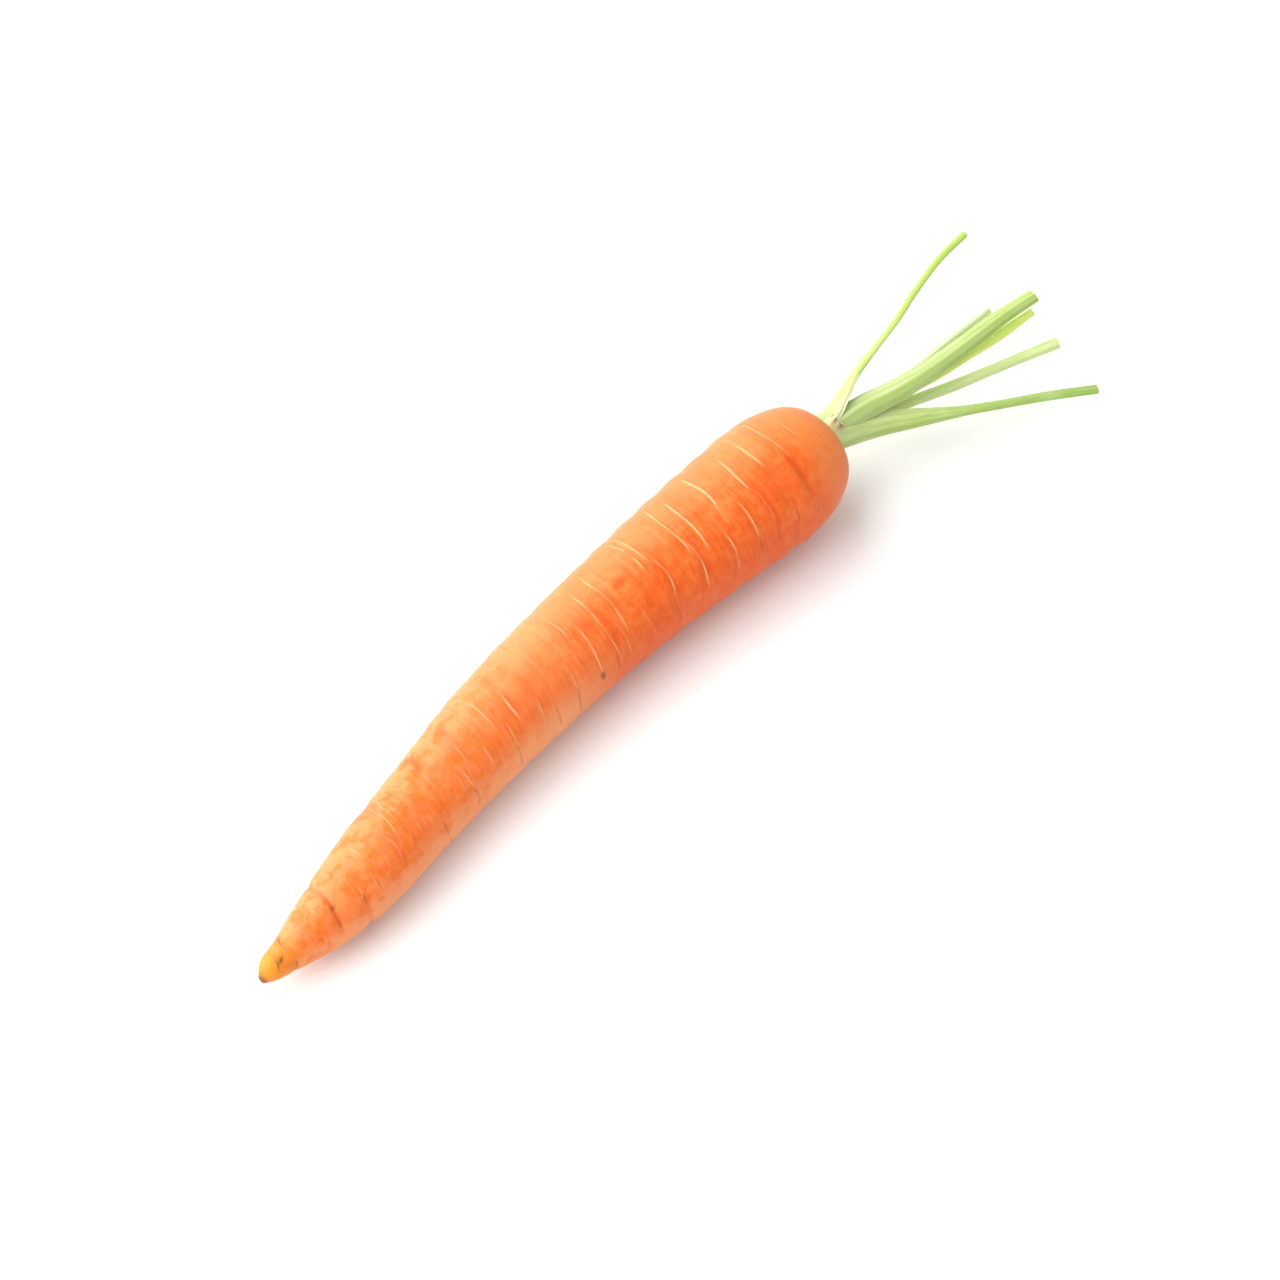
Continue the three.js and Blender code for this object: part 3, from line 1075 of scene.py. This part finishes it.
@dataclass
class LeafStalk:
    """A ribbed stalk with a sheathing foot, cut off square at its end.

    The route is the CAD part's: along, sideways and up from the middle of the seat, as shares of the
    reach, and then the stalk's width there in millimetres.
    """

    name: str
    turn: float  # where the foot stands round the crown, degrees from straight up towards +Y
    sheath: float  # the foot's width, as a share of the widest foot
    route: list[tuple[float, float, float, float]]
    skin: StalkSkin
    spread: float = 0.96  # how far out the foot stands, as a share of the crown's radius
    ribs: int = 12
    rib_depth: float = 0.05
    channel: float = 0.5  # how deep the channel on the inner side is, as a share of the thickness
    slant: float = 0.15  # how far the cut leans
    rust: float = 0.0  # how brown the foot's margins are
    dark_flank: float = 0.0  # how much of the darker green and painted shade covers the flank towards -Y, away from the key light
    torn: float = 0.0  # how ragged and brown the end is
    tear: float = 0.35 * MM  # how far a fully torn end's edge wanders
    thickness: float = STALK_THICKNESS
    slot_name: str = "leaf_stalk"
    sides: int = 72
    rings: int = 110

    def tube(self) -> bpy.types.Object:
        """Models the stalk straight: a tube of length 1 along X and radius 1 with inset ends."""
        deselect_everything()
        quarter = (0, math.pi / 2, 0)
        bpy.ops.mesh.primitive_circle_add(
            vertices=self.sides, radius=1, fill_type="NGON", rotation=quarter
        )
        stalk = bpy.context.object
        stalk.name = stalk.data.name = f"{self.name}_green"
        bpy.ops.object.transform_apply(location=True, rotation=True, scale=True)
        bpy.ops.object.mode_set(mode="EDIT")
        bpy.ops.mesh.select_all(action="SELECT")
        for _ in range(self.rings):
            bpy.ops.mesh.extrude_region_move(TRANSFORM_OT_translate={"value": (1 / self.rings, 0, 0)})
        for thickness in (0.04, 0.12, 0.2, 0.25, 0.25):
            bpy.ops.mesh.inset(thickness=thickness)
        deselect_everything()
        return stalk

    @property
    def outward(self) -> np.ndarray:
        """The direction from the middle of the crown to the foot."""
        angle = math.radians(self.turn)
        return np.array((0, math.sin(angle), math.cos(angle)))

    def steps(self, crown: Crown) -> np.ndarray:
        """The route's control points: place and width."""
        seat = np.array((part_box("taproot")[1].x, crown.middle.y, crown.middle.z))
        start = seat + self.outward * self.spread * crown.radius
        foot = self.sheath * SHEATH_WIDTH
        rows = [(*(start - (1 * MM, 0, 0)), foot), (*(start + (1 * MM, 0, 0)), foot)]
        for along, sideways, up, width in self.route:
            rows.append((*(seat + REACH * np.array((along, sideways, up))), width * MM))
        return np.array(rows)

    def directions(self, steps: np.ndarray, share: np.ndarray) -> tuple[np.ndarray, ...]:
        """Which way the stalk faces along its route.

        Args:
            steps: the route's control points.
            share: places along the route.

        Returns:
            For each place the directions ahead, to the outer face, and across.
        """
        step = 0.002
        ahead = through_points(steps, np.clip(share + step, 0, 1))
        behind = through_points(steps, np.clip(share - step, 0, 1))
        tangent = (ahead - behind)[:, :3]
        tangent /= np.linalg.norm(tangent, axis=1)[:, None]
        outer = self.outward - tangent * (tangent @ self.outward)[:, None]
        outer /= np.linalg.norm(outer, axis=1)[:, None]
        return tangent, outer, np.cross(tangent, outer)

    def follow(self, stalk: bpy.types.Object, crown: Crown) -> None:
        """Bends the straight tube along its route and gives it its section.

        Args:
            stalk: the straight tube.
            crown: what the foot clasps.
        """
        points = points_of(stalk)
        share = np.clip(points[:, 0], 0, 1)
        around = np.arctan2(points[:, 1], points[:, 2])
        inwards = np.hypot(points[:, 1], points[:, 2])
        steps = self.steps(crown)
        line = through_points(steps, share)
        tangent, outer, side = self.directions(steps, share)

        width = np.maximum(line[:, 3], 0.5 * MM)
        thickness = np.minimum(self.thickness, width)
        curl = CURL * (width - thickness)
        ridge = np.cos(self.ribs * around) * np.clip(share * 6, 0.25, 1) * inwards**4
        rounder = 1 + self.rib_depth * ridge
        across = inwards * np.sin(around) * rounder * width / 2
        tilt = 2 * curl * across / (width / 2) ** 2
        through = inwards * np.cos(around) * rounder * thickness / 2 / np.hypot(1, tilt)
        inner = np.clip(-np.cos(around), 0, 1) ** 1.5 * np.clip(share * 3, 0, 1)
        through += self.channel * thickness / 2 * inner * bell(across, 0.22 * width) * inwards
        ragged = self.torn * self.tear * wobble(around, 9, 12)
        lean = (self.slant * across + ragged) * np.clip(share * 40 - 39, 0, 1)
        placed = line[:, :3] + tangent * lean[:, None]
        placed += outer * (through - curl * (across / (width / 2)) ** 2)[:, None]
        placed += side * (across + through * tilt)[:, None]
        move_points(stalk, placed)

        reach = np.linalg.norm(steps[-1, :3] - steps[0, :3])
        section = (np.sin(around) * width / 2, np.cos(around) * width / 2)
        store(stalk, "grain", np.column_stack([*section, share * reach]))
        self.keep_tints(stalk, share, around, inwards, width > 1.3 * thickness)

    def keep_tints(
        self,
        stalk: bpy.types.Object,
        share: np.ndarray,
        around: np.ndarray,
        inwards: np.ndarray,
        sheathing: np.ndarray,
    ) -> None:
        """Keeps for the material where the stalk is ribbed, cut, pale-edged, darker or brown; the
        darkening between the ribs is painted shade, and on the flank towards -Y it is darker green and
        painted shade.

        Args:
            stalk: the piece that takes the attributes.
            share: how far along the stalk each vertex is, from 0 to 1.
            around: how far round it is, in radians from the outer face.
            inwards: how far out from the middle it is, from 0 to 1.
            sheathing: whether the stalk is a flat sheath there.
        """
        across = np.sin(around)
        ends = (inwards < 0.97) & (share > 0.5)
        edge = np.abs(across) ** 8 * inwards
        thin_edge = np.sqrt(edge) * np.where(across > 0, 1 - self.dark_flank, 1)
        flank = np.clip(4 * across + 0.3, 0, 1) * np.clip(4 * share, 0.3, 1)
        rust = self.rust * edge * np.clip(1.4 - share * 4, 0, 1) * (0.7 + 0.6 * wobble(share * 9, 9, 3))
        rust += self.torn * np.clip(share * 5 - 4, 0, 1) * (0.6 + 0.5 * wobble(around, 11, 8))
        store(stalk, "along", share)
        # painted shade between the ribs
        store(stalk, "valley", np.clip(0.5 - 0.5 * np.cos(self.ribs * around), 0, 1) * ~ends)
        store(stalk, "margin", 0.9 * thin_edge * np.clip(1.3 - share * 2.4, 0, 1) * sheathing)
        # darker green and painted shade on the flank towards -Y
        store(stalk, "dark_flank", self.dark_flank * flank * ~ends)
        store(stalk, "cut", ends.astype(float))
        store(stalk, "rust", np.clip(rust, 0, 1))

    def build(self, crown: Crown) -> bpy.types.Object:
        """Makes the stalk, whose foot clasps the crown."""
        stalk = self.tube()
        self.follow(stalk, crown)
        turn_faces_out(stalk)
        pick(stalk)
        bpy.ops.object.shade_smooth_by_angle(angle=math.radians(50))
        stalk.data.materials.append(self.skin.material())
        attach(stalk, "root")
        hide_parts(self.name)
        return stalk


def leaf_stalks() -> list[LeafStalk]:
    """The leaf stalks, the outermost first, and the foot left by an older leaf."""
    return [
        LeafStalk(
            "leaf_stalk_long",
            turn=-70,
            sheath=1,
            route=[
                (0.2, -0.114, -0.019, 7),
                (0.355, -0.203, -0.035, 4.8),
                (0.505, -0.29, -0.055, 2.7),
                (0.648, -0.374, -0.077, 2.2),
                (0.835, -0.48, -0.107, 2.3),
                (1, -0.588, -0.13, 2.3),
            ],
            rust=0.35,
            dark_flank=0.6,
            skin=StalkSkin(
                "long_stalk", foot="D6E2AC", shaft="C6D684", end="9FBC64", shade="98BA4E", valley=0.4
            ),
        ),
        LeafStalk(
            "leaf_stalk_thin",
            turn=55,
            sheath=0.8,
            route=[
                (0.105, 0.038, 0.047, 7.4),
                (0.175, 0.039, 0.083, 5.8),
                (0.27, 0.043, 0.124, 3),
                (0.382, 0.042, 0.178, 2),
                (0.501, 0.045, 0.224, 2),
                (0.623, 0.062, 0.262, 2),
                (0.789, 0.078, 0.301, 2),
                (0.943, 0.075, 0.324, 2.2),
            ],
            skin=StalkSkin(
                "thin_stalk", foot="C8DA9E", shaft="BED47E", end="ABC65A", shade="B8D070", valley=0.35
            ),
            rust=0.5,
        ),
        LeafStalk(
            "leaf_stalk_broad",
            turn=-15,
            sheath=0.8,
            spread=0.75,
            route=[
                (0.212, -0.052, 0.062, 6.4),
                (0.345, -0.101, 0.078, 5.6),
                (0.48, -0.138, 0.093, 4.9),
                (0.655, -0.171, 0.116, 4.5),
                (0.835, -0.201, 0.139, 3.9),
                (1, -0.241, 0.162, 3.4),
            ],
            rust=0.5,
            dark_flank=0.75,
            skin=StalkSkin(
                "broad_stalk", foot="C6D29E", shaft="D2DC9E", end="C0D07C", shade="9CB85C"
            ),
        ),
        LeafStalk(
            "leaf_stalk_middle",
            turn=-140,
            sheath=0.45,
            spread=0.6,
            route=[
                (0.2, -0.056, -0.045, 3.3),
                (0.388, -0.109, -0.048, 3.2),
                (0.56, -0.188, -0.04, 3.1),
                (0.762, -0.277, -0.024, 2.8),
                (0.995, -0.383, -0.002, 3.2),
            ],
            skin=StalkSkin(
                "middle_stalk", foot="EEF4CC", shaft="D8E2A8", end="D0DE98", shade="BCCF84", valley=0.35
            ),
            rust=0.4,
            thickness=3.1 * MM,
        ),
        LeafStalk(
            "leaf_stalk_rear",
            turn=115,
            sheath=0.35,
            spread=0.6,
            route=[
                (0.2, -0.005, 0.003, 2.6),
                (0.478, -0.061, 0.014, 2.5),
                (0.682, -0.084, 0.037, 2.5),
                (0.9, -0.11, 0.06, 2.2),
            ],
            skin=StalkSkin(
                "rear_stalk", foot="DEE8C8", shaft="DCE6C0", end="D8E4BC", shade="C4D6A6", valley=0.3
            ),
        ),
        LeafStalk(
            "leaf_stalk_inner",
            turn=180,
            sheath=0.4,
            spread=0.5,
            route=[
                (0.185, -0.036, -0.025, 3),
                (0.372, -0.083, 0.001, 3),
                (0.52, -0.138, 0.024, 3),
                (0.68, -0.181, 0.047, 3),
                (0.822, -0.217, 0.062, 2.8),
                (0.988, -0.252, 0.085, 2),
            ],
            skin=StalkSkin(
                "inner_stalk", foot="E4EEA0", shaft="EAF492", end="DEEC80", shade="D2E474", valley=0.3
            ),
        ),
        LeafStalk(
            "old_leaf_base",
            turn=-14,
            sheath=0.65,
            route=[(0.055, -0.034, 0.1, 4.2)],
            skin=StalkSkin(
                "old_leaf", foot="E2EEC0", shaft="E4EEC2", end="DCE0AE", shade="BFD092", valley=0.35
            ),
            rust=0.8,
            torn=0.9,
            thickness=1.1 * MM,
            slot_name="old_leaf",
            rings=30,
        ),
    ]


# ---- The studio ---------------------------------------------------------------------------------


@dataclass(frozen=True)
class SoftBox:
    """A square soft light that faces the carrot."""

    name: str
    azimuth: float  # degrees round from -Y, where -90 is -X
    elevation: float  # degrees above the table
    away: float  # metres
    size: float  # metres along a side
    power: float  # watts


@dataclass
class Studio:
    """A plain pale table, soft light and the camera."""

    table: TableTop = field(default_factory=TableTop)
    table_radius: float = 4.0
    lights: tuple[SoftBox, ...] = (
        SoftBox("key_light", -140, 42, 1.3, 2.0, 44),
        SoftBox("fill_light", -20, 60, 1.4, 1.4, 5),
    )
    daylight: float = 0.45  # strength of the even white light from all round
    target: Vector = field(default_factory=lambda: Vector((-5.77, 5.88, 10.6)) * MM)
    azimuth: float = -48.29
    elevation: float = 55.0
    distance: float = 0.8565
    lens: float = 100.0  # millimetres
    sensor: float = 36.0  # millimetres

    def lay_table(self) -> bpy.types.Object:
        """Lays a round, flat table under the carrot."""
        deselect_everything()
        bpy.ops.mesh.primitive_circle_add(
            vertices=96, radius=self.table_radius, fill_type="NGON", location=(0, 0, 0)
        )
        table = bpy.context.object
        table.name = table.data.name = "table_top"
        table.data.materials.append(self.table.material())
        return table

    def towards(self, azimuth: float, elevation: float) -> Vector:
        """The direction from the carrot to a place in the studio.

        Args:
            azimuth: degrees round from -Y, where -90 is -X.
            elevation: degrees above the table.

        Returns:
            A direction of length 1.
        """
        turn, rise = math.radians(azimuth), math.radians(elevation)
        flat = math.cos(rise)
        return Vector((math.sin(turn) * flat, -math.cos(turn) * flat, math.sin(rise)))

    def hang_light(self, box: SoftBox) -> None:
        """Hangs a soft box that faces the carrot."""
        where = box.away * self.towards(box.azimuth, box.elevation)
        deselect_everything()
        bpy.ops.object.light_add(type="AREA", location=where)
        light = bpy.context.object
        light.name = light.data.name = box.name
        light.data.shape = "SQUARE"
        light.data.size = box.size
        light.data.energy = box.power
        light.rotation_euler = (self.target - where).to_track_quat("-Z", "Y").to_euler()

    def set_camera(self) -> None:
        """Sets up the camera."""
        where = self.target + self.distance * self.towards(self.azimuth, self.elevation)
        deselect_everything()
        bpy.ops.object.camera_add(location=where)
        camera = bpy.context.object
        camera.rotation_euler = (self.target - where).to_track_quat("-Z", "Y").to_euler()
        camera.data.lens = self.lens
        camera.data.sensor_width = self.sensor
        bpy.context.scene.camera = camera

    def light_all_round(self) -> None:
        """Lights the studio evenly from all round."""
        world = bpy.data.worlds.new("studio")
        world.use_nodes = True
        backdrop = world.node_tree.nodes["Background"]
        backdrop.inputs["Color"].default_value = paint("FFFFFF")
        backdrop.inputs["Strength"].default_value = self.daylight
        bpy.context.scene.world = world

    def build(self) -> bpy.types.Object:
        """Sets up the studio.

        Returns:
            The table, which isn't part of the carrot.
        """
        table = self.lay_table()
        for box in self.lights:
            self.hang_light(box)
        self.set_camera()
        self.light_all_round()
        bpy.context.scene.view_settings.view_transform = "Standard"
        return table


def main() -> None:
    """Builds the carrot and the studio in order."""
    logging.basicConfig(level=logging.INFO, format="%(name)s: %(message)s")
    crown = Crown()
    pieces = [Studio().build(), Taproot().build(), crown.build()]
    pieces += [stalk.build(crown) for stalk in leaf_stalks()]
    for piece in pieces:
        LOG.info("%s has %d faces", piece.name, len(piece.data.polygons))
    deselect_everything()


if __name__ == "__main__":
    main()
